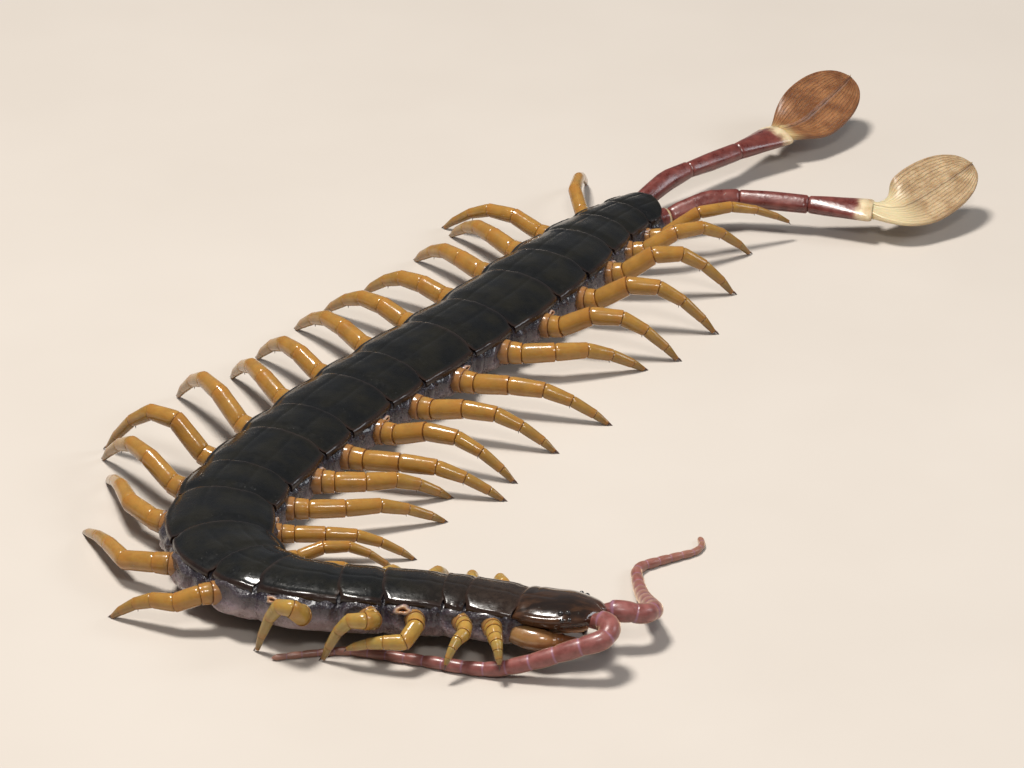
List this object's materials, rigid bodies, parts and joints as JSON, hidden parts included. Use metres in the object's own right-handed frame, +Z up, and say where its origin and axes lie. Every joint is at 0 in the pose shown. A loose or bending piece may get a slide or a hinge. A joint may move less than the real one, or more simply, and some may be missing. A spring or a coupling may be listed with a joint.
{
  "type": "feather-tailed giant centipede",
  "caption": "Life-size still model of a feather-tailed giant centipede, resting in a hairpin bend, with raised back plates, arched walking legs, jointed feelers and leaf-like last legs.",
  "frame": {"origin": "centre of the model's footprint, at the level of the floor that the feet stand on", "axes": "+Z up; +Y from the head's end of the pose towards the tail leaves, the longest way across; +X to the right as seen from the head's side"},
  "size_m": [0.0846, 0.116, 0.0069],
  "materials": {
    "trunk_shell": "glossy blue-black cuticle over purple-grey soft sides",
    "head_shell": "glossy dark brown cuticle",
    "ocelli": "polished black domes",
    "feeler": "dusty rose articles with a fine velvet of short hairs",
    "jaw_amber": "pale translucent amber cuticle",
    "leg_amber": "wet amber cuticle with red-brown joints",
    "shank_maroon": "maroon cuticle with a cream end",
    "leaf_brown": "thin brown horny leaf, slightly translucent"
  },
  "bodies": {
    "root": {"head": "head_shell", "forcipule_plate": "jaw_amber", "eye_left": "ocelli", "forcipule_left": "jaw_amber", "antenna_left": "feeler", "ultimate_leg_left": "shank_maroon", "tail_leaf_left": "leaf_brown", "leg_left_01": "leg_amber", "leg_left_02": "leg_amber", "leg_left_03": "leg_amber", "leg_left_04": "leg_amber", "leg_left_05": "leg_amber", "leg_left_06": "leg_amber", "leg_left_07": "leg_amber", "leg_left_08": "leg_amber", "leg_left_09": "leg_amber", "leg_left_10": "leg_amber", "leg_left_11": "leg_amber", "leg_left_12": "leg_amber", "leg_left_13": "leg_amber", "leg_left_14": "leg_amber", "leg_left_15": "leg_amber", "leg_left_16": "leg_amber", "leg_left_17": "leg_amber", "leg_left_18": "leg_amber", "leg_left_19": "leg_amber", "leg_left_20": "leg_amber", "eye_right": "ocelli", "forcipule_right": "jaw_amber", "antenna_right": "feeler", "ultimate_leg_right": "shank_maroon", "tail_leaf_right": "leaf_brown", "leg_right_01": "leg_amber", "leg_right_02": "leg_amber", "leg_right_03": "leg_amber", "leg_right_04": "leg_amber", "leg_right_05": "leg_amber", "leg_right_06": "leg_amber", "leg_right_07": "leg_amber", "leg_right_08": "leg_amber", "leg_right_09": "leg_amber", "leg_right_10": "leg_amber", "leg_right_11": "leg_amber", "leg_right_12": "leg_amber", "leg_right_13": "leg_amber", "leg_right_14": "leg_amber", "leg_right_15": "leg_amber", "leg_right_16": "leg_amber", "leg_right_17": "leg_amber", "leg_right_18": "leg_amber", "leg_right_19": "leg_amber", "leg_right_20": "leg_amber", "trunk_01_to_03": "trunk_shell", "trunk_04_to_06": "trunk_shell", "trunk_07_to_09": "trunk_shell", "trunk_10_to_12": "trunk_shell", "trunk_13_to_15": "trunk_shell", "trunk_16_to_18": "trunk_shell", "trunk_19_to_21": "trunk_shell"}
  },
  "joints": []
}
